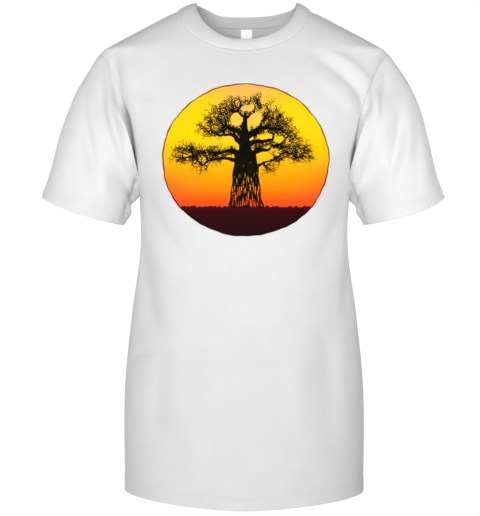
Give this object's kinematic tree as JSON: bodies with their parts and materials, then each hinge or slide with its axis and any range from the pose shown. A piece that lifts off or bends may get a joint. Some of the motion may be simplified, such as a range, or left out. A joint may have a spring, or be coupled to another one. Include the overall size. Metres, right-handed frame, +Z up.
{
  "type": "printed t-shirt",
  "caption": "White crew-neck T-shirt with short sleeves, in its worn shape, with a round sunset print of a baobab tree on the chest.",
  "frame": {"origin": "on the wearer's centre plane, midway between the two points where the shoulder seams meet the neck seam; the wearer's shoulders hold the shirt up", "axes": "+Z up, -Y out of the chest towards the viewer of the print, +X towards the wearer's left arm"},
  "size_m": [0.59, 0.268, 0.7201],
  "materials": {
    "jersey": "white cotton jersey, fine knit",
    "rib": "white one-by-one rib knit",
    "label": "white satin ribbon",
    "print_sky": "matt ink on jersey, yellow above to red at the horizon",
    "print_ground": "matt ink on jersey, maroon to near black",
    "print_tree": "matt black ink on jersey"
  },
  "bodies": {
    "root": {"front_panel": "jersey", "back_panel": "jersey", "body_hem": "jersey", "sleeve_left": "jersey", "sleeve_right": "jersey", "sleeve_hem_left": "jersey", "sleeve_hem_right": "jersey", "neck_rib": "rib", "neck_tape": "rib", "neck_label": "label", "print_sky": "print_sky", "print_ground": "print_ground", "print_trunk": "print_tree", "print_crown": "print_tree"}
  },
  "joints": []
}
